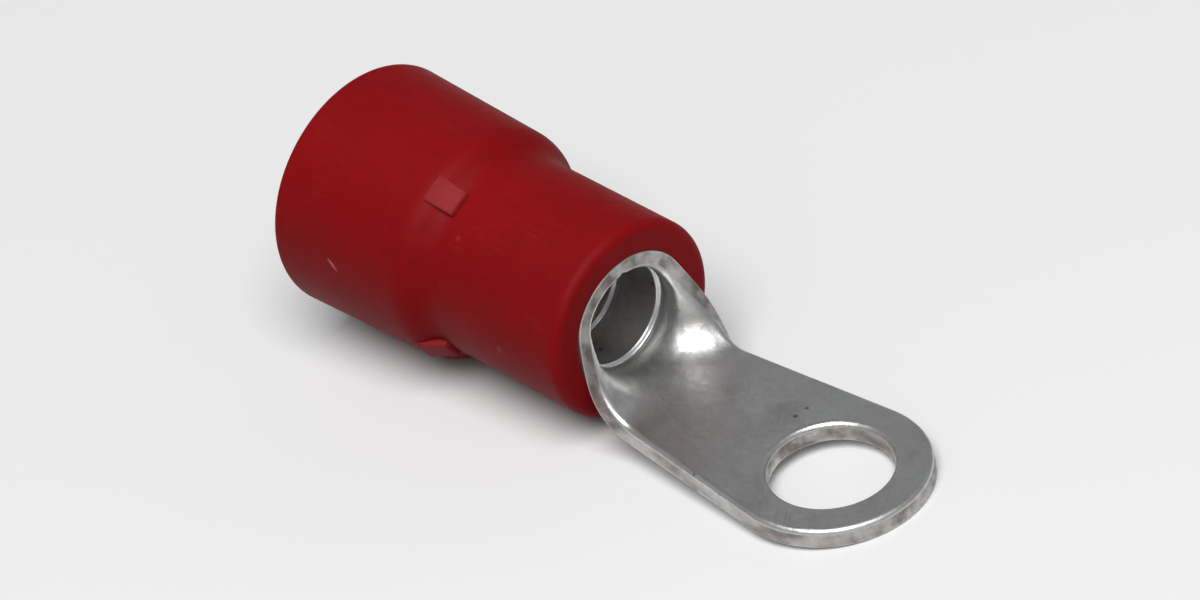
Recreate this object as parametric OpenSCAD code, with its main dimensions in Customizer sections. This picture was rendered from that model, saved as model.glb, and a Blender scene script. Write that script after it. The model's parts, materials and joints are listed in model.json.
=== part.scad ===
// Ring terminal with a nylon sleeve: a crimp lug for 8 mm2 cable and an M5 stud.
// It lies on the surface z = 0, on the bell of its sleeve and the tip of its tongue.
// The modules draw it level, with the barrel's axis on X, the barrel's front edge
// at x = 0 and the tongue towards +X; at_rest() then lays it down.

/* [Stud end] */
// Diameter of the stud hole, clear on an M5 stud
stud_hole_d = 5.3; // [4.3:0.1:5.6]
// Distance from the barrel's front edge to the centre of the stud hole
hole_reach = 11.2; // [10.5:0.1:14]
// Width of the round head, across the stud hole
head_w = 8.5; // [8:0.1:9.5]
// Width of the tongue at its narrowest, just ahead of the barrel
neck_w = 6.7; // [6:0.1:7.4]

/* [Sheet and barrel] */
// Thickness of the copper sheet
sheet_t = 0.85; // [0.7:0.05:1.2]
// Bore of the rolled barrel, for the stripped conductor
barrel_bore_d = 4.6; // [4.4:0.1:5]
// Length of the barrel
barrel_len = 8.5; // [8:0.1:9.5]
// Radius of the corner between the barrel's front edge and the tongue, in the flat blank
neck_fillet = 2.6; // [1.8:0.1:2.8]
// Distance over which the rolled sheet opens out flat
unroll_len = 3; // [2.6:0.1:4.5]
// How soon the roll opens along that distance: more is sooner
roll_fade = 2.5; // [1:0.25:3]
// Number of grip grooves pressed round the bore
groove_count = 3; // [1:1:4]
// Distance from the barrel's front edge to the first grip groove
first_groove = 0.75; // [0.6:0.05:1.5]
// Depth of a grip groove
groove_depth = 0.15; // [0.05:0.05:0.3]
// Width of a grip groove at the bore
groove_w = 0.4; // [0.3:0.1:0.8]

/* [Sleeve] */
// Length of the nylon sleeve, front rim to mouth
sleeve_len = 16.1; // [15:0.1:18]
// Outside diameter over the barrel
small_od = 8.9; // [8.6:0.1:9.2]
// Length of the part of the sleeve over the barrel, up to the shoulder
small_len = 7.65; // [7:0.05:8.2]
// Outside diameter of the bell just behind the shoulder
bell_od = 10.4; // [10:0.1:10.8]
// Outside diameter of the bell at its mouth
mouth_od = 10.9; // [10.5:0.1:11.4]
// Wall of the bell
bell_wall = 0.85; // [0.6:0.05:1]
// Length of the sloping shoulder
shoulder_len = 0.85; // [0.6:0.05:1.4]
// Length of the funnel that leads the wire into the barrel
funnel_len = 2; // [1.5:0.1:2.6]
// Width of each small block on the shoulder
lug_w = 1.4; // [0.8:0.1:2]

/* [Hidden] */
$fn = 96;

barrel_r = barrel_bore_d / 2 + sheet_t;       // outside of the barrel; the tongue lies flush with it
mid_r = barrel_r - sheet_t / 2;               // middle of the rolled sheet
head_r = head_w / 2;
tip_x = hole_reach + head_r;
rear_chamfer = 0.45;                          // opens the barrel's rear edge for the wire
cutter = 1;                                   // how far a cutting solid runs past what it cuts
sink = 0.01;                                  // the opening sheet sits this far inside what it joins
root = 0.3;                                   // and runs this far into it
arc_steps = 6;                                // facets on each rounded corner of a profile

sleeve_front = -0.15;                         // the barrel's front edge stands just proud of the rim
shoulder_x = sleeve_front - small_len;
bell_x = shoulder_x - shoulder_len;
mouth_x = sleeve_front - sleeve_len;
front_round = 0.3;
shoulder_round = 0.6;
mouth_round = 0.25;
inner_round = 0.15;                           // inside edge of the mouth
throat_round = 0.5;                           // where the funnel meets the bell
lug_root = 0.3;                               // how far a block is let into the wall
lug_reach = 0.75;                             // how far a block carries the bell forward
lug_angles = [118, 211];                      // about the axis, from +Y towards +Z

// The tongue's sides are straight lines that run from the fillet to the head, touching both.
side_slope = asin((head_r + neck_fillet) / norm([hole_reach - neck_fillet, neck_w / 2 + neck_fillet]))
           - atan2(neck_w / 2 + neck_fillet, hole_reach - neck_fillet);
function side_half_w(x) = (head_r - (hole_reach - x) * sin(side_slope)) / cos(side_slope);
fillet_end = neck_fillet * (1 + sin(side_slope));
opening = max(unroll_len, fillet_end + 0.1);  // the sheet stays curled as far as the fillets reach

// How it lies: a straight line from the tip of the tongue that touches the bell's rounded shoulder.
shoulder_slope = atan2((bell_od - small_od) / 2, shoulder_len);
bell_slope = atan2((mouth_od - bell_od) / 2, bell_x - mouth_x);
round_back = shoulder_round * tan((shoulder_slope - bell_slope) / 2);
round_x = bell_x - round_back * cos(bell_slope) - shoulder_round * sin(bell_slope);
round_r = bell_od / 2 + round_back * sin(bell_slope) - shoulder_round * cos(bell_slope);
rest_tilt = atan2(round_r - barrel_r, tip_x - round_x)
          + asin(shoulder_round / norm([tip_x - round_x, round_r - barrel_r]));
rest_height = tip_x * sin(rest_tilt) + barrel_r * cos(rest_tilt);

// The box of the part as it lies, whose middle is put over the origin.
front_reach = tip_x * cos(rest_tilt) - (barrel_r - sheet_t) * sin(rest_tilt);
back_reach = (mouth_x + mouth_round) * cos(rest_tilt) - (mouth_od / 2 - mouth_round) * sin(rest_tilt)
           - mouth_round;

module at_rest() {
    translate([-(front_reach + back_reach) / 2, 0, rest_height])
        rotate([0, rest_tilt, 0])
            children();
}

// Turns a profile drawn as [radius, x] about the barrel's axis.
module turned(profile, from = 0, sweep = 360) {
    rotate([0, 90, 0])
        rotate([0, 0, from])
            rotate_extrude(angle = sweep)
                polygon(profile);
}

// Rounds the corners of a closed path of [x, y, radius].
function corner(a, b, c) =
    let (u = (a - b) / norm(a - b), v = (c - b) / norm(c - b), half = acos(u * v) / 2)
    [u, v, half];
function rounded(path) = [
    for (i = [0:len(path) - 1])
        let (
            b = [path[i].x, path[i].y],
            a = let (p = path[(i + len(path) - 1) % len(path)]) [p.x, p.y],
            c = let (p = path[(i + 1) % len(path)]) [p.x, p.y],
            k = corner(a, b, c),
            r = path[i][2],
            mid = (k[0] + k[1]) / norm(k[0] + k[1]),
            centre = b + mid * r / sin(k[2]),
            first = b + k[0] * r / tan(k[2]) - centre,
            last = b + k[1] * r / tan(k[2]) - centre
        )
        if (r == 0) b
        else for (j = [0:arc_steps])
            let (d = first * sin((90 - k[2]) * 2 * (1 - j / arc_steps)) + last * sin((90 - k[2]) * 2 * j / arc_steps))
            centre + d / norm(d) * r
];

// ---- the copper piece ----

// Half width of the flat blank at each section of the opening sheet, as [x, half width]:
// round the fillet first, then along the side.
fillet_steps = 12;
side_steps = 4;
blank = concat(
    [[-root, neck_w / 2 + neck_fillet]],
    [for (i = [0:fillet_steps])
        let (a = (90 + side_slope) * i / fillet_steps)
        [neck_fillet * (1 - cos(a)), neck_w / 2 + neck_fillet * (1 - sin(a))]],
    [for (i = [1:side_steps])
        let (x = fillet_end + (opening - fillet_end) * i / side_steps)
        [x, side_half_w(x)]],
    [[opening + root, side_half_w(opening + root)]]
);

// The sheet is a full roll at the barrel and flat where the tongue starts.
function roll(x) = x <= 0 ? 1 : x >= opening ? 0 : pow(cos(90 * x / opening), roll_fade);

// A point of the sheet at x, at the distance s round it from its lowest line and off its middle.
function on_sheet(x, s, off) =
    let (k = roll(x) / mid_r)
    k < 0.0001
        ? [x, s, off - mid_r]
        : let (turn = s * k * 180 / PI, r = 1 / k)
          [x, (r - off) * sin(turn), r - mid_r - (r - off) * cos(turn)];

across = 28;                                  // strips across the sheet
module opening_sheet() {
    half = sheet_t / 2 - sink;
    ring = 2 * (across + 1);
    points = [for (b = blank, side = [-1, 1], i = [0:across])
        let (s = (b[1] - sink) * (2 * i / across - 1) * (side < 0 ? 1 : -1))
        on_sheet(b.x, s, side * half)];
    last = (len(blank) - 1) * ring;
    function around(i) = i % ring;
    walls = [for (b = [0:len(blank) - 2], i = [0:ring - 1])
        let (p = b * ring + i, q = b * ring + around(i + 1))
        each [[p, q + ring, q], [p, p + ring, q + ring]]];
    ends = [for (i = [0:across - 1])
        let (p = i, q = i + 1, r = ring - 2 - i, s = ring - 1 - i)
        each [[p, q, s], [q, r, s], [last + p, last + s, last + q], [last + q, last + s, last + r]]];
    polyhedron(points, concat(walls, ends), convexity = 6);
}

module barrel() {
    bore_r = barrel_bore_d / 2;
    pitch = (barrel_len - first_groove) / groove_count;
    difference() {
        turned([[bore_r, 0], [barrel_r, 0], [barrel_r, -barrel_len],
                [bore_r + rear_chamfer, -barrel_len], [bore_r, rear_chamfer - barrel_len]]);
        for (i = [0:groove_count - 1])
            translate([-first_groove - i * pitch, 0, 0])
                turned([[bore_r - cutter, groove_w / 2], [bore_r, groove_w / 2],
                        [bore_r + groove_depth, groove_w / 6], [bore_r + groove_depth, -groove_w / 6],
                        [bore_r, -groove_w / 2], [bore_r - cutter, -groove_w / 2]]);
    }
}

module tongue() {
    touch = [hole_reach - head_r * sin(side_slope), head_r * cos(side_slope)];
    start = [opening, side_half_w(opening)];
    translate([0, 0, -barrel_r])
        difference() {
            linear_extrude(sheet_t)
                union() {
                    translate([hole_reach, 0]) circle(head_r);
                    polygon([start, touch, [touch.x, -touch.y], [start.x, -start.y]]);
                }
            translate([hole_reach, 0, -cutter]) cylinder(d = stud_hole_d, h = sheet_t + 2 * cutter);
        }
}

module terminal() {
    color([0.72, 0.74, 0.74])
        at_rest()
            union() {
                barrel();
                opening_sheet();
                tongue();
            }
}

// ---- the nylon sleeve ----

module lug(angle) {
    outer = bell_od / 2;
    half_turn = lug_w / outer * 90 / PI;
    inner = small_od / 2 - lug_root;
    turned([[inner, bell_x + lug_reach], [outer, bell_x + lug_reach],
            [outer + lug_reach * tan(bell_slope), bell_x - lug_reach], [inner, bell_x - lug_reach]],
           90 + angle - half_turn, 2 * half_turn);
}

module sleeve() {
    funnel_r = barrel_bore_d / 2 + rear_chamfer;
    bell_in = bell_od / 2 + funnel_len * tan(bell_slope) - bell_wall;
    color([0.64, 0.06, 0.08])
        at_rest()
            union() {
                turned(rounded([
                    [barrel_r, sleeve_front, 0],
                    [small_od / 2, sleeve_front, front_round],
                    [small_od / 2, shoulder_x, shoulder_round],
                    [bell_od / 2, bell_x, shoulder_round],
                    [mouth_od / 2, mouth_x, mouth_round],
                    [mouth_od / 2 - bell_wall, mouth_x, inner_round],
                    [bell_in, -barrel_len - funnel_len, throat_round],
                    [funnel_r, -barrel_len, 0],
                    [barrel_r, -barrel_len, 0]
                ]));
                for (angle = lug_angles) lug(angle);
            }
}

terminal();
sleeve();
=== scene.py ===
import json
import math

import bmesh
import bpy
from mathutils import Matrix, Vector


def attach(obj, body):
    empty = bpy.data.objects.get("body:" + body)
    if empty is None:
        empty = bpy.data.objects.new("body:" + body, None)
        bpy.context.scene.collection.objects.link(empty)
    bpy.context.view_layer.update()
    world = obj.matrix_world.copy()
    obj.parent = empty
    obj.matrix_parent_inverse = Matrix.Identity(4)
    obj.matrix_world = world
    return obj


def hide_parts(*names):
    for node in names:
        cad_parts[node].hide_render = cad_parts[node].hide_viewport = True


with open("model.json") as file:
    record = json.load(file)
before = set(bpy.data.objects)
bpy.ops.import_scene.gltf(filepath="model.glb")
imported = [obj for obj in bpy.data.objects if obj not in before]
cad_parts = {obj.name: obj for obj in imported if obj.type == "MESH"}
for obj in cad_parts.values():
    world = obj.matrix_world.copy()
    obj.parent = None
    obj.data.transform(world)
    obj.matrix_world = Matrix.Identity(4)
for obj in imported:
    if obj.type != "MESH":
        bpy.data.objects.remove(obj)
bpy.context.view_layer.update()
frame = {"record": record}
mm = 0.001  # the pieces are sized in millimetres, the finishes and the studio in metres
print("frame loaded")


# Node trees, shared by the shapes and the materials

def addNode(tree, kind, **settings):
    node = tree.nodes.new(kind)
    for name, value in settings.items():
        setattr(node, name, value)
    return node


def feed(tree, socket, value):
    if isinstance(value, bpy.types.NodeSocket):
        tree.links.new(value, socket)
    elif value is not None:
        socket.default_value = value


def calc(tree, operation, *values, clamp=False):
    node = addNode(tree, "ShaderNodeMath", operation=operation, use_clamp=clamp)
    for socket, value in zip(node.inputs, values):
        feed(tree, socket, value)
    return node.outputs[0]


def turnInto(tree, value, fromLow, fromHigh, toLow=0.0, toHigh=1.0, way="SMOOTHSTEP"):
    node = addNode(tree, "ShaderNodeMapRange", interpolation_type=way)
    for socket, given in zip(node.inputs, (value, fromLow, fromHigh, toLow, toHigh)):
        feed(tree, socket, given)
    return node.outputs[0]


def joinXyz(tree, x, y, z):
    node = addNode(tree, "ShaderNodeCombineXYZ")
    for socket, value in zip(node.inputs, (x, y, z)):
        feed(tree, socket, value)
    return node.outputs[0]


def splitXyz(tree, vector):
    node = addNode(tree, "ShaderNodeSeparateXYZ")
    feed(tree, node.inputs[0], vector)
    return node.outputs


def mixColors(tree, amount, first, second):
    node = addNode(tree, "ShaderNodeMix", data_type="RGBA", clamp_factor=True)
    for index, value in ((0, amount), (6, first), (7, second)):
        feed(tree, node.inputs[index], value)
    return node.outputs[2]


def openTree(name, kind, inputs, outputs):
    tree = bpy.data.node_groups.new(name, kind)
    for label, socketKind, default in inputs:
        socketKind = "NodeSocket" + socketKind
        socket = tree.interface.new_socket(label, in_out="INPUT", socket_type=socketKind)
        if default is not None:
            socket.default_value = default
    for label, socketKind in outputs:
        socketKind = "NodeSocket" + socketKind
        tree.interface.new_socket(label, in_out="OUTPUT", socket_type=socketKind)
    given = addNode(tree, "NodeGroupInput").outputs
    wanted = addNode(tree, "NodeGroupOutput").inputs
    return tree, given, wanted


def bake(thing, tree, values):
    modifier = thing.modifiers.new(tree.name, "NODES")
    modifier.node_group = tree
    for item in tree.interface.items_tree:
        if item.item_type == "SOCKET" and item.in_out == "INPUT" and item.name in values:
            modifier[item.identifier] = values[item.name]
    bpy.context.view_layer.update()
    shaped = thing.evaluated_get(bpy.context.evaluated_depsgraph_get())
    mesh = bpy.data.meshes.new_from_object(shaped)
    thing.modifiers.clear()
    mesh.name = thing.name
    thing.data = mesh


def newThing(name, points, faces=()):
    mesh = bpy.data.meshes.new(name)
    mesh.from_pydata([Vector(p) * mm for p in points], (), faces)
    thing = bpy.data.objects.new(name, mesh)
    bpy.context.scene.collection.objects.link(thing)
    return thing


def closeUp(thing, reach=0.0004):
    work = bmesh.new()
    work.from_mesh(thing.data)
    bmesh.ops.remove_doubles(work, verts=work.verts, dist=reach * mm)
    bmesh.ops.dissolve_degenerate(work, edges=work.edges, dist=reach * mm)
    bmesh.ops.recalc_face_normals(work, faces=work.faces)
    openEdges = sum(1 for edge in work.edges if len(edge.link_faces) != 2)
    work.to_mesh(thing.data)
    work.free()
    for face in thing.data.polygons:
        face.use_smooth = True
    print(thing.name, len(thing.data.polygons), "faces,", openEdges, "open edges")


# How the part lies: modelled level, barrel along X from its front edge, then tipped onto its rest

studHole = next(m for m in frame["record"]["mounts"] if m["name"] == "stud_hole")
restTilt = math.atan2(studHole["axis"][0], studHole["axis"][2])
terminalSize = {
    "studHole": 5.3, "holeReach": 11.2, "headWidth": 8.5, "neckWidth": 6.7, "neckFillet": 2.6,
    "sheet": 0.85, "bore": 4.6, "barrelLength": 8.5, "rearChamfer": 0.45,
    "unrollLength": 3.0, "rollFade": 2.5, "mouthEase": 0.07, "easeLength": 0.55,
    "firstGroove": 0.75, "grooveCount": 3, "groovePitch": 2.583, "grooveDepth": 0.15, "grooveWidth": 0.4,
    "topRound": 0.24, "bottomRound": 0.08, "bottomFlare": 0.03, "seamDent": 0.06, "seamWidth": 0.22,
    "edgeStrip": 0.05, "edgeGap": 0.03, "rowGap": 0.08, "ringRoom": 0.9,  # how the blank is divided
    "filletSteps": 26, "sideSteps": 30, "headSteps": 40, "neckSteps": 44, "roundSteps": 22,
    "barrelSteps": 32, "grooveSteps": 12, "mouthSteps": 5, "ringSteps": 5,
}
middle = terminalSize["bore"] / 2 + terminalSize["sheet"] / 2
levelHole = Vector((terminalSize["holeReach"], 0, -middle)) * mm
layDown = Matrix.Rotation(restTilt, 4, "Y")
layDown = Matrix.Translation(Vector(studHole["pos_m"]) - layDown @ levelHole) @ layDown


# Terminal: a flat blank, then rolled

def steps(low, high, count):
    return [low + (high - low) * i / count for i in range(count + 1)]


def cutEdgeProfile(size):  # depth in from the outline and height, from the upper face to the lower
    half, strip, quarter = size["sheet"] / 2, size["edgeStrip"], math.pi / 2
    top, bottom, flare = size["topRound"], size["bottomRound"], -size["bottomFlare"]
    path = [(top + strip, half)]
    path += [(top * (1 - math.sin(a)), half - top * (1 - math.cos(a))) for a in steps(0, quarter, 5)]
    path += [(0, half * 0.1), (0, -half * 0.2), (flare, -half * 0.55)]
    for a in steps(0, quarter, 3):
        path.append((flare + bottom * (1 - math.cos(a)), -half + bottom * (1 - math.sin(a))))
    path.append((bottom + flare + strip, -half))
    return path


def blankOutline(size):
    fillet, hole, head = size["neckFillet"], size["holeReach"], size["headWidth"] / 2
    start = size["neckWidth"] / 2 + fillet
    reach = hole - fillet
    slope = math.asin((head + fillet) / math.hypot(reach, start)) - math.atan2(start, reach)
    quarter = math.pi / 2 + slope
    outline = []  # place and inward direction, from the barrel's front edge to the tip
    for a in steps(0, quarter, size["filletSteps"]):
        inward = Vector((-math.cos(a), -math.sin(a)))
        outline.append((Vector((fillet, start)) + inward * fillet, inward))
    inward = Vector((math.sin(slope), -math.cos(slope)))
    touch = Vector((hole, 0)) - inward * head
    first, count = outline[-1][0], size["sideSteps"]
    outline += [(first.lerp(touch, i / count), inward) for i in range(1, count)]
    for a in steps(quarter, 0, size["headSteps"]):
        inward = -Vector((math.cos(a), math.sin(a)))
        outline.append((Vector((hole, 0)) - inward * head, inward))
    return outline, start


def flatBlank(size):
    outline, start = blankOutline(size)
    edge = cutEdgeProfile(size)
    half, length, holeRadius = size["sheet"] / 2, size["barrelLength"], size["studHole"] / 2
    holeAt = Vector((size["holeReach"], 0))
    wide = steps(-start, start, size["neckSteps"])  # across the tongue's root
    over = steps(start, 2 * math.pi * middle - start, size["roundSteps"])  # on round the barrel
    ring = wide + over[1:]
    stripLimit = holeAt.x - holeRadius - size["ringRoom"]
    stripEnd = max(i for i, (place, inward) in enumerate(outline) if place.x < stripLimit)
    points, faces, cut = [], [], []
    cutBandLow = size["bottomRound"] - half - 0.01  # a hair beyond the rows it takes in
    cutBandHigh = half - size["topRound"] + 0.01

    def net(rows, height=None):
        base, width = len(points), len(rows[0])
        for row in rows:
            for point in row:
                points.append((point[0], point[1], height if len(point) == 2 else point[2]))
                cut.append(1.0 if height is None and cutBandLow < point[2] < cutBandHigh else 0.0)
        for i in range(len(rows) - 1):
            for a in range(base + i * width, base + i * width + width - 1):
                faces.append((a, a + 1, a + width + 1, a + width))

    def inset(index, depth, side=1):
        place, inward = outline[index]
        return (place.x + inward.x * depth, (place.y + inward.y * depth) * side)

    def headBorder(depth):
        x, y = inset(stripEnd, depth)
        tail = range(stripEnd + 1, len(outline))
        border = [(x, s / start * y) for s in wide] + [inset(i, depth) for i in tail]
        border += [inset(i, depth, -1) for i in reversed(tail[:-1])]
        return [Vector(p) for p in border + border[:1]]

    turns = [(p - holeAt).normalized() for p in headBorder(0)]
    grooves = [size["firstGroove"] + i * size["groovePitch"] for i in range(size["grooveCount"])]
    fine = [g + size["grooveWidth"] * k for g in grooves for k in steps(-0.6, 0.6, size["grooveSteps"])]
    fine += [length - size["rearChamfer"] * k for k in (0.6, 0.9, 1, 1.1)]
    fine += steps(0.05, 0.4, size["mouthSteps"])
    plain = steps(0, length, size["barrelSteps"])
    plain = [x for x in plain if min(abs(x - f) for f in fine) > size["rowGap"]]

    for depth, height in (edge[0], edge[-1]):  # the sheet's two faces
        gap = depth + size["edgeGap"]
        between = [x for x in fine + plain if gap < x < length - gap]
        along = [depth - length] + [-x for x in sorted(between, reverse=True)] + [-depth]
        net([[(x, s) for s in ring] for x in along], height)
        corners = [inset(i, depth) for i in range(stripEnd + 1)]
        net([[(x, s / start * y) for s in wide] for x, y in corners], height)
        border = headBorder(depth)
        inner = [holeAt + turn * (holeRadius + depth) for turn in turns]
        pairs = list(zip(inner, border))
        net([[a.lerp(b, k) for a, b in pairs] for k in steps(0, 1, size["ringSteps"])], height)

    net([[(d - length, s, z) for d, z in edge] for s in ring])  # the cut edges between them
    net([[(-d, s, z) for d, z in edge] for s in over])
    for side in (1, -1):
        net([[(*inset(i, d, side), z) for d, z in edge] for i in range(len(outline))])
    net([[(*(holeAt + turn * (holeRadius + d)), z) for d, z in edge] for turn in turns])
    return points, faces, cut


def rollingTree():
    tree, given, wanted = openTree("rollTheBlank", "GeometryNodeTree", (
        ("Geometry", "Geometry", None), ("Material", "Material", None),
        ("Sheet", "Float", 0.00085), ("Middle Radius", "Float", 0.002725),
        ("Barrel Length", "Float", 0.0085), ("Rear Chamfer", "Float", 0.00045),
        ("Unroll Length", "Float", 0.003), ("Roll Fade", "Float", 2.5),
        ("First Groove", "Float", 0.00075), ("Groove Pitch", "Float", 0.002583),
        ("Groove Count", "Int", 3), ("Groove Depth", "Float", 0.00015), ("Groove Width", "Float", 0.0004),
        ("Mouth Ease", "Float", 0.00007), ("Ease Length", "Float", 0.00055),
        ("Seam Dent", "Float", 0.00006), ("Seam Width", "Float", 0.00022),
        ("Bottom Flare", "Float", 0.00003),
    ), (("Geometry", "Geometry"),))
    x, s, off = splitXyz(tree, addNode(tree, "GeometryNodeInputPosition").outputs[0])
    insideShare = calc(tree, "ADD", calc(tree, "DIVIDE", off, given["Sheet"]), 0.5)  # 1 in the bore
    fromFront = calc(tree, "MULTIPLY", x, -1.0)

    chamferStart = calc(tree, "SUBTRACT", given["Barrel Length"], given["Rear Chamfer"])
    chamfer = calc(tree, "MAXIMUM", calc(tree, "SUBTRACT", fromFront, chamferStart), 0.0)
    pastFirst = calc(tree, "SUBTRACT", fromFront, given["First Groove"])
    nearest = calc(tree, "ROUND", calc(tree, "DIVIDE", pastFirst, given["Groove Pitch"]))
    lastGroove = calc(tree, "SUBTRACT", given["Groove Count"], 1.0)
    nearest = calc(tree, "MINIMUM", calc(tree, "MAXIMUM", nearest, 0.0), lastGroove)
    grooveAt = calc(tree, "MULTIPLY", nearest, given["Groove Pitch"])
    away = calc(tree, "ABSOLUTE", calc(tree, "SUBTRACT", pastFirst, grooveAt))
    lip = calc(tree, "MULTIPLY", given["Groove Width"], 0.5)
    floor = calc(tree, "MULTIPLY", given["Groove Width"], 0.12)
    groove = turnInto(tree, away, lip, floor, 0.0, given["Groove Depth"])

    # the bore widens a little at its front edge, and the widening dies out along the trough
    easeLength = given["Ease Length"]
    easeFrom, easeFull, easeTo = [calc(tree, "MULTIPLY", easeLength, k) for k in (-1.0, 0.2, 3.0)]
    easeIn = turnInto(tree, x, easeFrom, easeFull)
    easeOut = turnInto(tree, x, easeTo, easeFull)
    ease = calc(tree, "MULTIPLY", calc(tree, "MULTIPLY", easeIn, easeOut), given["Mouth Ease"])
    inner = calc(tree, "ADD", calc(tree, "ADD", chamfer, groove), ease)
    off = calc(tree, "SUBTRACT", off, calc(tree, "MULTIPLY", inner, insideShare))

    seamAt = calc(tree, "MULTIPLY", given["Middle Radius"], math.pi)
    fromSeam = calc(tree, "ABSOLUTE", calc(tree, "SUBTRACT", s, seamAt))
    dent = turnInto(tree, fromSeam, given["Seam Width"], 0.0, 0.0, given["Seam Dent"])
    halfSheet = calc(tree, "MULTIPLY", given["Sheet"], 0.5)
    off = calc(tree, "MULTIPLY", off, calc(tree, "SUBTRACT", 1.0, calc(tree, "DIVIDE", dent, halfSheet)))
    nearFront = turnInto(tree, x, calc(tree, "MULTIPLY", given["Sheet"], -0.4), 0.0)
    newX = calc(tree, "SUBTRACT", x, calc(tree, "MULTIPLY", dent, nearFront))

    opening = calc(tree, "SUBTRACT", x, given["Bottom Flare"])  # the flared front edge stays round
    opened = calc(tree, "DIVIDE", opening, given["Unroll Length"], clamp=True)
    fade = calc(tree, "COSINE", calc(tree, "MULTIPLY", opened, math.pi / 2))
    curl = calc(tree, "POWER", fade, given["Roll Fade"])
    bend = calc(tree, "DIVIDE", curl, given["Middle Radius"])
    isFlat = calc(tree, "LESS_THAN", curl, 0.002)  # below this the radius is too large to be exact
    radius = calc(tree, "DIVIDE", 1.0, calc(tree, "MAXIMUM", bend, 0.5))
    turn = calc(tree, "MULTIPLY", s, bend)
    arm = calc(tree, "SUBTRACT", radius, off)
    rolledY = calc(tree, "MULTIPLY", arm, calc(tree, "SINE", turn))
    drop = calc(tree, "SUBTRACT", radius, given["Middle Radius"])
    rolledZ = calc(tree, "SUBTRACT", drop, calc(tree, "MULTIPLY", arm, calc(tree, "COSINE", turn)))
    sag = calc(tree, "MULTIPLY", calc(tree, "MULTIPLY", s, turn), 0.5)
    flatZ = calc(tree, "ADD", calc(tree, "SUBTRACT", off, given["Middle Radius"]), sag)
    choose = addNode(tree, "GeometryNodeSwitch", input_type="VECTOR")
    feed(tree, choose.inputs[0], isFlat)
    feed(tree, choose.inputs[1], joinXyz(tree, newX, rolledY, rolledZ))
    feed(tree, choose.inputs[2], joinXyz(tree, newX, s, flatZ))
    place = addNode(tree, "GeometryNodeSetPosition")
    feed(tree, place.inputs["Geometry"], given["Geometry"])
    feed(tree, place.inputs["Position"], choose.outputs[0])
    finishTree(tree, place.outputs[0], given["Material"], wanted[0])
    return tree


def finishTree(tree, geometry, material, result):
    real = addNode(tree, "GeometryNodeRealizeInstances")
    paint = addNode(tree, "GeometryNodeSetMaterial")
    feed(tree, real.inputs[0], geometry)
    feed(tree, paint.inputs["Geometry"], real.outputs[0])
    feed(tree, paint.inputs["Material"], material)
    feed(tree, result, paint.outputs[0])


def makeTerminal(size, material):
    points, faces, cut = flatBlank(size)
    terminal = newThing("ringTerminal", points, faces)
    marks = terminal.data.attributes.new("cutEdge", "FLOAT", "POINT")
    marks.data.foreach_set("value", cut)
    lengths = {
        "Middle Radius": middle, "Sheet": size["sheet"], "Barrel Length": size["barrelLength"],
        "Rear Chamfer": size["rearChamfer"], "Unroll Length": size["unrollLength"],
        "First Groove": size["firstGroove"], "Groove Pitch": size["groovePitch"],
        "Groove Depth": size["grooveDepth"], "Groove Width": size["grooveWidth"],
        "Mouth Ease": size["mouthEase"], "Ease Length": size["easeLength"],
        "Seam Dent": size["seamDent"], "Seam Width": size["seamWidth"],
        "Bottom Flare": size["bottomFlare"],
    }
    values = {name: value * mm for name, value in lengths.items()}
    values.update({"Roll Fade": size["rollFade"], "Groove Count": size["grooveCount"]})
    values["Material"] = material
    bake(terminal, rollingTree(), values)
    closeUp(terminal)
    return terminal


# Sleeve: one profile turned about the barrel's axis, with its blocks set round the shoulder

sleeveSize = {
    "front": 0.05, "length": 16.3, "smallWidth": 8.9, "smallLength": 7.85, "shoulderLength": 0.85,
    "bellWidth": 10.4, "mouthWidth": 10.9, "bellWall": 0.85, "funnelLength": 2.0,
    "boreRound": 0.08, "frontRound": 0.45, "shoulderRound": 1.4, "mouthRound": 0.25, "innerRound": 0.15,
    "throatRound": 0.5, "funnelRound": 0.05, "segments": 192,
    "blockWidth": 1.35, "blockReach": 1.25, "blockBack": 0.15, "blockDrop": 0.5, "blockRise": 0.03,
    "blockRoot": 0.3, "blockRound": 0.1, "firstBlock": 117, "blockStep": 96, "blockCount": 2,
}


def roundedPath(corners, arcSteps=8, longest=0.3):
    path = []
    for i, (x, y, radius) in enumerate(corners):
        here = Vector((x, y))
        back = (Vector(corners[i - 1][:2]) - here).normalized()
        ahead = (Vector(corners[(i + 1) % len(corners)][:2]) - here).normalized()
        half = back.angle(ahead) / 2
        if radius == 0:
            path.append(here)
            continue
        centre = here + (back + ahead).normalized() * radius / math.sin(half)
        first = here + back * radius / math.tan(half) - centre
        last = here + ahead * radius / math.tan(half) - centre
        path += [centre + first.slerp(last, k) * radius for k in steps(0, 1, arcSteps)]
    fine = []
    for a, b in zip(path, path[1:] + path[:1]):
        count = max(1, math.ceil((b - a).length / longest))
        fine += [a.lerp(b, i / count) for i in range(count)]
    return fine + fine[:1]


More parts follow.
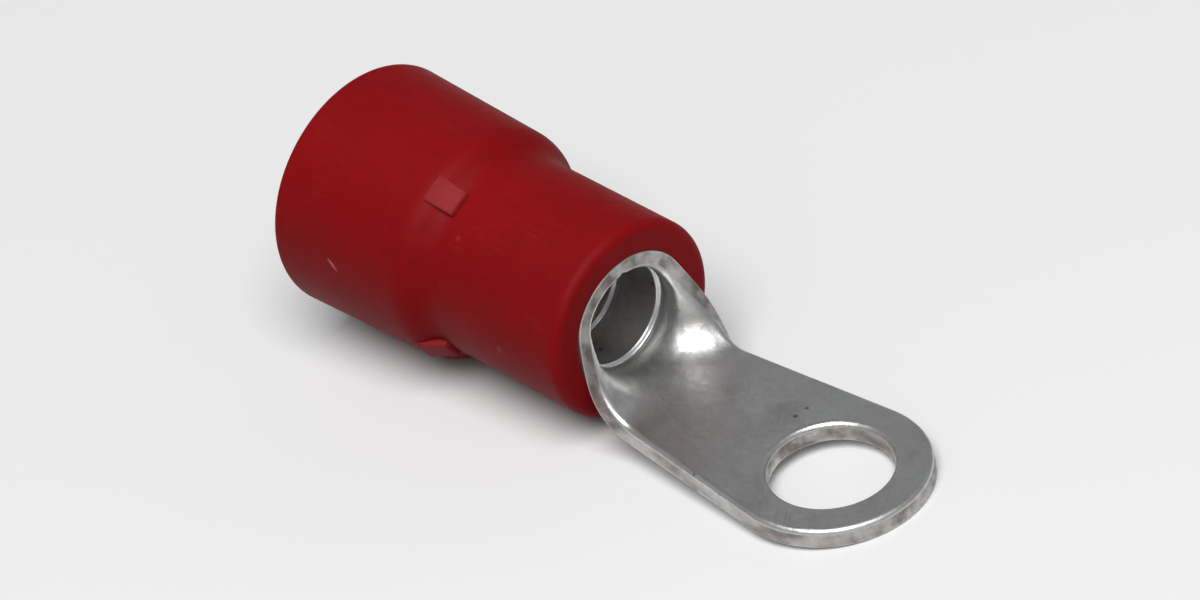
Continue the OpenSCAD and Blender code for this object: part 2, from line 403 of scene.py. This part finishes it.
def turningTree():
    tree, given, wanted = openTree("turnTheSleeve", "GeometryNodeTree", (
        ("Geometry", "Geometry", None), ("Segments", "Int", 192), ("Block", "Object", None),
        ("Block Count", "Int", 2), ("First Block", "Float", 2.0), ("Block Step", "Float", 1.6),
        ("Material", "Material", None),
    ), (("Geometry", "Geometry"),))
    size = addNode(tree, "GeometryNodeAttributeDomainSize")
    feed(tree, size.inputs[0], given["Geometry"])
    around = calc(tree, "ADD", given["Segments"], 1.0)
    grid = addNode(tree, "GeometryNodeMeshGrid")
    feed(tree, grid.inputs["Vertices X"], size.outputs["Point Count"])
    feed(tree, grid.inputs["Vertices Y"], around)
    index = addNode(tree, "GeometryNodeInputIndex").outputs[0]
    profileIndex = calc(tree, "FLOOR", calc(tree, "DIVIDE", calc(tree, "ADD", index, 0.5), around))
    turnIndex = calc(tree, "SUBTRACT", index, calc(tree, "MULTIPLY", profileIndex, around))
    sample = addNode(tree, "GeometryNodeSampleIndex", data_type="FLOAT_VECTOR", domain="POINT")
    feed(tree, sample.inputs["Geometry"], given["Geometry"])
    feed(tree, sample.inputs["Value"], addNode(tree, "GeometryNodeInputPosition").outputs[0])
    feed(tree, sample.inputs["Index"], profileIndex)
    onProfile = splitXyz(tree, sample.outputs[0])
    x, radius = onProfile["X"], onProfile["Z"]
    angle = calc(tree, "MULTIPLY", calc(tree, "DIVIDE", turnIndex, given["Segments"]), 2 * math.pi)
    turned = joinXyz(tree, x, calc(tree, "MULTIPLY", radius, calc(tree, "COSINE", angle)),
                     calc(tree, "MULTIPLY", radius, calc(tree, "SINE", angle)))
    place = addNode(tree, "GeometryNodeSetPosition")
    feed(tree, place.inputs["Geometry"], grid.outputs["Mesh"])
    feed(tree, place.inputs["Position"], turned)

    spots = addNode(tree, "GeometryNodePoints")
    feed(tree, spots.inputs["Count"], given["Block Count"])
    block = addNode(tree, "GeometryNodeObjectInfo")
    feed(tree, block.inputs["Object"], given["Block"])
    onward = calc(tree, "MULTIPLY", index, given["Block Step"])
    blockTurn = calc(tree, "ADD", given["First Block"], onward)
    scatter = addNode(tree, "GeometryNodeInstanceOnPoints")
    feed(tree, scatter.inputs["Points"], spots.outputs[0])
    feed(tree, scatter.inputs["Instance"], block.outputs["Geometry"])
    feed(tree, scatter.inputs["Rotation"], joinXyz(tree, blockTurn, 0.0, 0.0))
    together = addNode(tree, "GeometryNodeJoinGeometry")
    for part in (scatter.outputs[0], place.outputs[0]):
        feed(tree, together.inputs[0], part)
    finishTree(tree, together.outputs[0], given["Material"], wanted[0])
    return tree


def makeBlock(size, bellX, bellRise):  # its top carries the bell on, and drops over the shoulder
    outer, inner = size["bellWidth"] / 2, size["smallWidth"] / 2 - size["blockRoot"]
    turn = size["blockWidth"] / outer / 2
    back = outer + size["blockBack"] * bellRise
    arc = steps(-turn, turn, 6)
    sections = (
        (bellX - size["blockBack"], back + size["blockRise"]),
        (bellX, outer + size["blockRise"]),
        (bellX + size["blockReach"], outer - size["blockDrop"]),
    )
    points, faces, n = [], [], len(arc)
    for x, top in sections:
        for radius in (inner, top):
            points += [(x, radius * math.cos(a), radius * math.sin(a)) for a in arc]
    last = 2 * len(sections) - 2
    strips = [(row, row + 2) for row in range(last)] + [(0, 1), (last, last + 1)]
    for a, b in strips:
        faces += [(a * n + i, a * n + i + 1, b * n + i + 1, b * n + i) for i in range(n - 1)]
    for row in range(0, last, 2):
        for i in (0, n - 1):
            faces.append([k * n + i for k in (row, row + 1, row + 3, row + 2)])
    block = newThing("shoulderBlock", points, faces)
    closeUp(block)
    bevel = block.modifiers.new("softCorners", "BEVEL")
    bevel.width, bevel.segments, bevel.limit_method = size["blockRound"] * mm, 4, "ANGLE"
    # marks the blocks, which the nylon paints paler as a painted sheen
    pale = block.data.attributes.new("block", "FLOAT", "POINT")
    pale.data.foreach_set("value", [1.0] * len(block.data.vertices))
    return block


def makeSleeve(size, material):
    barrel = terminalSize["bore"] / 2 + terminalSize["sheet"]
    rear = -terminalSize["barrelLength"]
    shoulderX = size["front"] - size["smallLength"]
    bellX = shoulderX - size["shoulderLength"]
    mouthX = size["front"] - size["length"]
    rise = (size["mouthWidth"] - size["bellWidth"]) / 2 / (bellX - mouthX)
    small, bell, mouth = size["smallWidth"] / 2, size["bellWidth"] / 2, size["mouthWidth"] / 2
    throat = bell + size["funnelLength"] * rise - size["bellWall"]
    funnel = terminalSize["bore"] / 2 + terminalSize["rearChamfer"]
    profile = roundedPath([  # place along the axis, radius and rounding
        (size["front"], barrel, size["boreRound"]), (size["front"], small, size["frontRound"]),
        (shoulderX, small, size["shoulderRound"]), (bellX, bell, size["shoulderRound"]),
        (mouthX, mouth, size["mouthRound"]), (mouthX, mouth - size["bellWall"], size["innerRound"]),
        (rear - size["funnelLength"], throat, size["throatRound"]), (rear, funnel, size["funnelRound"]),
        (rear, barrel, 0),
    ])
    sleeve = newThing("nylonSleeve", [(p.x, 0, p.y) for p in profile])
    block = makeBlock(size, bellX, rise)
    bake(sleeve, turningTree(), {
        "Segments": size["segments"], "Block": block, "Block Count": size["blockCount"],
        "First Block": math.radians(size["firstBlock"]), "Block Step": math.radians(size["blockStep"]),
        "Material": material,
    })
    bpy.data.objects.remove(block)
    closeUp(sleeve)
    return sleeve


# Surface effects that both finishes use

lineBand = 0.56, 0.72  # where a stretched noise starts to show as a line, and where it is full


def noise(tree, vector, feature, detail=2.0, rough=0.5, stretch=None):
    if stretch:
        scaled = addNode(tree, "ShaderNodeVectorMath", operation="MULTIPLY")
        feed(tree, scaled.inputs[0], vector)
        feed(tree, scaled.inputs[1], stretch)
        vector = scaled.outputs[0]
    node = addNode(tree, "ShaderNodeTexNoise")
    feed(tree, node.inputs["Vector"], vector)
    feed(tree, node.inputs["Scale"], calc(tree, "DIVIDE", 1.0, feature))
    feed(tree, node.inputs["Detail"], detail)
    feed(tree, node.inputs["Roughness"], rough)
    return node.outputs[0]


def unevenToneGroup():  # slow patches broken by finer ones
    tree, given, wanted = openTree("unevenTone", "ShaderNodeTree", (
        ("Vector", "Vector", None), ("Patch", "Float", 0.004), ("Fleck", "Float", 0.0006),
        ("Contrast", "Float", 1.0),
    ), (("Tone", "Float"),))
    patches = noise(tree, given["Vector"], given["Patch"], 3.0, 0.55)
    flecks = noise(tree, given["Vector"], given["Fleck"], 2.0, 0.6)
    both = calc(tree, "ADD", calc(tree, "MULTIPLY", patches, 0.65), calc(tree, "MULTIPLY", flecks, 0.35))
    gain = calc(tree, "MULTIPLY", given["Contrast"], 2.6)
    spread = calc(tree, "MULTIPLY", calc(tree, "SUBTRACT", both, 0.5), gain)
    feed(tree, wanted["Tone"], calc(tree, "ADD", spread, 0.5, clamp=True))
    return tree


def handlingGroup():  # fine scuffs along the part and a few specks of dirt, from lying loose among others
    tree, given, wanted = openTree("handling", "ShaderNodeTree", (
        ("Vector", "Vector", None), ("Scuff Width", "Float", 0.00006), ("Scuff Length", "Float", 0.0015),
        ("Speck", "Float", 0.0007), ("Speck Share", "Float", 0.3),
    ), (("Scuffs", "Float"), ("Specks", "Float")))
    lengthwise = calc(tree, "DIVIDE", given["Scuff Width"], given["Scuff Length"])
    scaled = addNode(tree, "ShaderNodeVectorMath", operation="MULTIPLY")
    feed(tree, scaled.inputs[0], given["Vector"])
    feed(tree, scaled.inputs[1], joinXyz(tree, lengthwise, 1.0, 1.0))
    lines = noise(tree, scaled.outputs[0], given["Scuff Width"], 2.0, 0.6)
    where = turnInto(tree, noise(tree, given["Vector"], 0.003, 1.0), 0.45, 0.7)
    feed(tree, wanted["Scuffs"], calc(tree, "MULTIPLY", turnInto(tree, lines, *lineBand), where))
    cells = addNode(tree, "ShaderNodeTexVoronoi", feature="F1")
    feed(tree, cells.inputs["Vector"], given["Vector"])
    feed(tree, cells.inputs["Scale"], calc(tree, "DIVIDE", 1.0, given["Speck"]))
    dot = turnInto(tree, cells.outputs["Distance"], 0.16, 0.05)
    chosen = calc(tree, "LESS_THAN", splitXyz(tree, cells.outputs["Color"])[0], given["Speck Share"])
    feed(tree, wanted["Specks"], calc(tree, "MULTIPLY", dot, chosen))
    return tree


def placeGroup(tree, group, values):
    node = addNode(tree, "ShaderNodeGroup", node_tree=group)
    for name, value in values.items():
        feed(tree, node.inputs[name], value)
    return node.outputs


def startMaterial(name):
    material = bpy.data.materials.new(name)
    material.use_nodes = True
    tree = material.node_tree
    shader = tree.nodes["Principled BSDF"]
    coords = addNode(tree, "ShaderNodeTexCoord")
    level = addNode(tree, "ShaderNodeMapping")  # turns the pattern so that X runs along the barrel
    feed(tree, level.inputs["Vector"], coords.outputs["Object"])
    level.inputs["Rotation"].default_value = (0, -restTilt, 0)
    return material, tree, shader, level.outputs[0]


def bumpFrom(tree, height, distance, normal=None):
    bump = addNode(tree, "ShaderNodeBump")
    bump.inputs["Distance"].default_value = distance
    feed(tree, bump.inputs["Height"], height)
    feed(tree, bump.inputs["Normal"], normal)
    return bump.outputs[0]


unevenTone, handling = unevenToneGroup(), handlingGroup()


def toneAndMarks(tree, vector, finish):
    tone = placeGroup(tree, unevenTone, {
        "Vector": vector, "Patch": finish["patch"], "Fleck": finish["fleck"],
        "Contrast": finish["contrast"],
    })
    marks = placeGroup(tree, handling, {
        "Vector": vector, "Scuff Width": finish["scuffWidth"], "Scuff Length": finish["scuffLength"],
        "Speck": finish["speckSpacing"], "Speck Share": finish["speckShare"],
    })
    return tone["Tone"], marks["Scuffs"], marks["Specks"]


def tint(tree, color, mask, most, target):
    return mixColors(tree, calc(tree, "MULTIPLY", mask, most), color, target)


tinFinish = {
    "bright": (0.76, 0.765, 0.755, 1), "dull": (0.56, 0.56, 0.55, 1), "stain": (0.40, 0.35, 0.32, 1),
    # the cut edges' colour: bare sheared copper, darkened further as a painted dark reflection
    "tornAndShade": (0.22, 0.19, 0.175, 1), "speck": (0.10, 0.09, 0.085, 1), "scratch": (0.20, 0.18, 0.17, 1),
    "roughest": 0.46, "smoothest": 0.31, "tornRoughness": 0.14,
    "patch": 0.0028, "fleck": 0.00035, "contrast": 1.3,
    "stainPatch": 0.0022, "stainMost": 0.32, "tearSize": 0.0011, "tearStretch": (0.4, 1, 1),
    "scuffWidth": 0.00005, "scuffLength": 0.0012, "scuffMost": 0.35, "scuffDepth": 0.5,
    "speckSpacing": 0.0009, "speckShare": 0.16, "speckMost": 0.8,
    "scratchWidth": 0.00006, "scratchStretch": (0.03, 1, 1), "scratchTurn": 0.9,
    "scratchPatch": 0.0024, "scratchMost": 0.3,
    "grainSize": 0.00009, "grainHeight": 0.000008, "waveSize": 0.0011, "waveHeight": 0.000045,
}


def scratchMask(tree, vector, finish):  # fine lines across the sheet, in patches
    slant = addNode(tree, "ShaderNodeMapping")
    feed(tree, slant.inputs["Vector"], vector)
    slant.inputs["Rotation"].default_value = (0, 0, finish["scratchTurn"])
    lines = noise(tree, slant.outputs[0], finish["scratchWidth"], 2.0, 0.6, finish["scratchStretch"])
    patch = turnInto(tree, noise(tree, vector, finish["scratchPatch"], 2.0), 0.5, 0.62)
    return calc(tree, "MULTIPLY", turnInto(tree, lines, *lineBand), patch)


def tinnedCopperMaterial(finish):
    material, tree, shader, vector = startMaterial("tinnedCopper")
    shader.inputs["Metallic"].default_value = 1.0
    tone, scuffs, specks = toneAndMarks(tree, vector, finish)
    color = mixColors(tree, tone, finish["dull"], finish["bright"])
    stainNoise = noise(tree, vector, finish["stainPatch"], 3.0, 0.6)
    stained = turnInto(tree, stainNoise, 0.50, 0.72, 0.0, finish["stainMost"])
    color = mixColors(tree, stained, color, finish["stain"])
    color = tint(tree, color, scuffs, finish["scuffMost"], finish["bright"])
    color = tint(tree, color, scratchMask(tree, vector, finish), finish["scratchMost"], finish["scratch"])
    color = tint(tree, color, specks, finish["speckMost"], finish["speck"])

    # Cut edges take the torn colour: partly bare sheared copper, partly a painted dark reflection of the
    # surroundings.
    cut = addNode(tree, "ShaderNodeAttribute", attribute_name="cutEdge").outputs["Fac"]
    tearNoise = noise(tree, vector, finish["tearSize"], 3.0, 0.6, finish["tearStretch"])
    tornAndShade = calc(tree, "MULTIPLY", cut, turnInto(tree, tearNoise, 0.35, 0.65, 0.35, 1.0))
    feed(tree, shader.inputs["Base Color"], mixColors(tree, tornAndShade, color, finish["tornAndShade"]))
    rough = turnInto(tree, tone, 0.0, 1.0, finish["roughest"], finish["smoothest"], "LINEAR")
    rough = calc(tree, "ADD", rough, calc(tree, "MULTIPLY", tornAndShade, finish["tornRoughness"]))
    feed(tree, shader.inputs["Roughness"], rough)

    sunk = calc(tree, "MULTIPLY", scuffs, -finish["scuffDepth"])
    grain = calc(tree, "ADD", noise(tree, vector, finish["grainSize"], 3.0, 0.6), sunk)
    waves = bumpFrom(tree, noise(tree, vector, finish["waveSize"], 2.0), finish["waveHeight"])
    feed(tree, shader.inputs["Normal"], bumpFrom(tree, grain, finish["grainHeight"], waves))
    return material


nylonFinish = {
    # dust colour: real dust on scuffs and specks, and a painted sheen on the shoulder blocks
    "deep": (0.185, 0.0012, 0.0024, 1), "full": (0.285, 0.0019, 0.004, 1), "dustAndSheen": (0.42, 0.07, 0.08, 1),
    "roughest": 0.64, "smoothest": 0.52, "gloss": 0.12,
    "through": 0.35, "throughRadius": (1.0, 0.05, 0.04), "throughDepth": 0.0011,
    "patch": 0.007, "fleck": 0.0004, "contrast": 0.6, "blockSheen": 0.22,
    "scuffWidth": 0.00007, "scuffLength": 0.0018, "scuffMost": 0.10,
    "speckSpacing": 0.0016, "speckShare": 0.05, "speckMost": 0.5,
    "ripplePitch": 0.0005, "rippleHeight": 0.0000012, "rippleWander": 2.0, "ripplePatch": 0.0016,
    "grainSize": 0.00012, "grainHeight": 0.000003, "waveSize": 0.0022, "waveHeight": 0.00005,
    "nick": (0.62, 0.26, 0.25, 1), "nickMost": 0.55, "nickSpot": (-0.01265, 174, 0.00533),
    "nickTurn": -0.87, "nickReach": (0.00011, 0.0006, 0.00045),
}


def nickMask(tree, vector, finish):  # one short scrape on the bell
    along, around, radius = finish["nickSpot"]  # from the barrel's front edge, and in degrees from +Y
    around = math.radians(around)
    spot = Vector((along, math.cos(around) * radius, math.sin(around) * radius))
    local = addNode(tree, "ShaderNodeMapping", vector_type="TEXTURE")
    feed(tree, local.inputs["Vector"], vector)
    local.inputs["Location"].default_value = Matrix.Rotation(-restTilt, 4, "Y") @ layDown @ spot
    local.inputs["Rotation"].default_value = (0, finish["nickTurn"], 0)
    local.inputs["Scale"].default_value = finish["nickReach"]
    length = addNode(tree, "ShaderNodeVectorMath", operation="LENGTH")
    feed(tree, length.inputs[0], local.outputs[0])
    return turnInto(tree, length.outputs["Value"], 1.0, 0.4)


def mouldRings(tree, vector, finish):  # faint, and stronger in places
    along = calc(tree, "MULTIPLY", splitXyz(tree, vector)["X"], 2 * math.pi / finish["ripplePitch"])
    wander = calc(tree, "MULTIPLY", noise(tree, vector, 0.002, 1.0), finish["rippleWander"])
    rings = calc(tree, "SINE", calc(tree, "ADD", along, wander))
    patch = turnInto(tree, noise(tree, vector, finish["ripplePatch"], 2.0), 0.35, 0.65)
    return calc(tree, "MULTIPLY", rings, patch)


def redNylonMaterial(finish):
    material, tree, shader, vector = startMaterial("redNylon")
    shader.inputs["Subsurface Weight"].default_value = finish["through"]
    shader.inputs["Subsurface Radius"].default_value = finish["throughRadius"]
    shader.inputs["Subsurface Scale"].default_value = finish["throughDepth"]
    shader.inputs["Specular IOR Level"].default_value = finish["gloss"]
    tone, scuffs, specks = toneAndMarks(tree, vector, finish)
    color = mixColors(tree, tone, finish["deep"], finish["full"])
    color = tint(tree, color, scuffs, finish["scuffMost"], finish["dustAndSheen"])
    color = tint(tree, color, specks, finish["speckMost"], finish["dustAndSheen"])
    # the shoulder blocks are painted paler: a painted sheen where their ramps catch the light
    block = addNode(tree, "ShaderNodeAttribute", attribute_name="block").outputs["Fac"]
    color = tint(tree, color, block, finish["blockSheen"], finish["dustAndSheen"])
    color = tint(tree, color, nickMask(tree, vector, finish), finish["nickMost"], finish["nick"])
    feed(tree, shader.inputs["Base Color"], color)
    rough = turnInto(tree, tone, 0.0, 1.0, finish["roughest"], finish["smoothest"], "LINEAR")
    feed(tree, shader.inputs["Roughness"], rough)

    ripple = bumpFrom(tree, mouldRings(tree, vector, finish), finish["rippleHeight"])
    waves = bumpFrom(tree, noise(tree, vector, finish["waveSize"], 2.0), finish["waveHeight"], ripple)
    grain = noise(tree, vector, finish["grainSize"], 2.0, 0.6)
    feed(tree, shader.inputs["Normal"], bumpFrom(tree, grain, finish["grainHeight"], waves))
    return material


terminal = makeTerminal(terminalSize, tinnedCopperMaterial(tinFinish))
sleeve = makeSleeve(sleeveSize, redNylonMaterial(nylonFinish))
for piece, node, finish in ((terminal, "terminal", "tinned_copper"), (sleeve, "sleeve", "red_nylon")):
    piece.data.transform(layDown)
    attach(piece, "root")
    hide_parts(node)
print("terminal and sleeve made")


# Floor, light and camera

studio = {
    "floor": (0.86, 0.86, 0.86, 1), "floorBounce": (0.22, 0.22, 0.22, 1), "floorReach": 2.0,
    "world": (0.80, 0.81, 0.83, 1), "horizon": (0.30, 0.30, 0.31, 1), "overhead": (0.15, 0.155, 0.16, 1),
    "worldStrength": 0.42, "horizonBand": (-0.05, 0.6), "overheadBand": (0.64, 0.86),
    "softbox": 0.50, "softboxWatts": 4.1, "softboxFrom": (0.22, -0.20, 0.55),
}


def paleFloor(values):
    material = bpy.data.materials.new("paleFloor")
    material.use_nodes = True
    tree = material.node_tree
    shader = tree.nodes["Principled BSDF"]
    ray = addNode(tree, "ShaderNodeLightPath").outputs
    mirrored = calc(tree, "MAXIMUM", ray["Is Glossy Ray"], ray["Is Transmission Ray"])
    seen = calc(tree, "MAXIMUM", ray["Is Camera Ray"], mirrored)
    feed(tree, shader.inputs["Base Color"], mixColors(tree, seen, values["floorBounce"], values["floor"]))
    shader.inputs["Roughness"].default_value = 0.8
    reach = values["floorReach"] / mm
    corners = [(-reach, -reach, 0), (reach, -reach, 0), (reach, reach, 0), (-reach, reach, 0)]
    floor = newThing("paleFloor", corners, [(0, 1, 2, 3)])
    floor.data.materials.append(material)


def softLamp(name, side, watts, spot):
    light = bpy.data.lights.new(name, "AREA")
    light.shape, light.size, light.energy = "DISK", side, watts
    lamp = bpy.data.objects.new(name, light)
    bpy.context.scene.collection.objects.link(lamp)
    lamp.location = spot
    lamp.rotation_euler = (-Vector(spot)).to_track_quat("-Z", "Y").to_euler()


def studioWorld(values):  # dim at the horizon and overhead, light between them
    world = bpy.data.worlds.new("studioWorld")
    world.use_nodes = True
    tree = world.node_tree
    height = splitXyz(tree, addNode(tree, "ShaderNodeTexCoord").outputs["Generated"])["Z"]
    risen = turnInto(tree, height, *values["horizonBand"])
    above = turnInto(tree, height, *values["overheadBand"])
    shade = mixColors(tree, risen, values["horizon"], values["world"])
    shade = mixColors(tree, above, shade, values["overhead"])
    background = tree.nodes["Background"]
    feed(tree, background.inputs["Color"], shade)
    background.inputs["Strength"].default_value = values["worldStrength"]
    bpy.context.scene.world = world


paleFloor(studio)
softLamp("softbox", studio["softbox"], studio["softboxWatts"], studio["softboxFrom"])
studioWorld(studio)
bpy.context.scene.view_settings.view_transform = "Standard"

cameraView = {  # directions in the level part's own frame
    "towards": (0.624, -0.492, 0.607), "up": (-0.363, 0.506, 0.783),
    "distance": 0.35, "lens": 251, "sensor": 36,
}


def aimCamera(view):  # centres the part in the frame
    turn = layDown.to_3x3()
    back = (turn @ Vector(view["towards"])).normalized()
    right = (turn @ Vector(view["up"])).cross(back).normalized()
    up = back.cross(right)
    lens = bpy.data.cameras.new("camera")
    lens.lens, lens.sensor_width = view["lens"], view["sensor"]
    camera = bpy.data.objects.new("camera", lens)
    bpy.context.scene.collection.objects.link(camera)
    bpy.context.scene.camera = camera
    seen = [vertex.co for piece in (terminal, sleeve) for vertex in piece.data.vertices]
    across = [p.dot(right) for p in seen]
    upward = [p.dot(up) for p in seen]
    target = right * (min(across) + max(across)) / 2 + up * (min(upward) + max(upward)) / 2
    spot = target + back * (view["distance"] + sum(p.dot(back) for p in seen) / len(seen))
    camera.matrix_world = Matrix((right, up, back)).transposed().to_4x4()
    camera.location = spot
    print("seen", round(max(across) - min(across), 5), "by", round(max(upward) - min(upward), 5), "m")


aimCamera(cameraView)
print("studio ready")
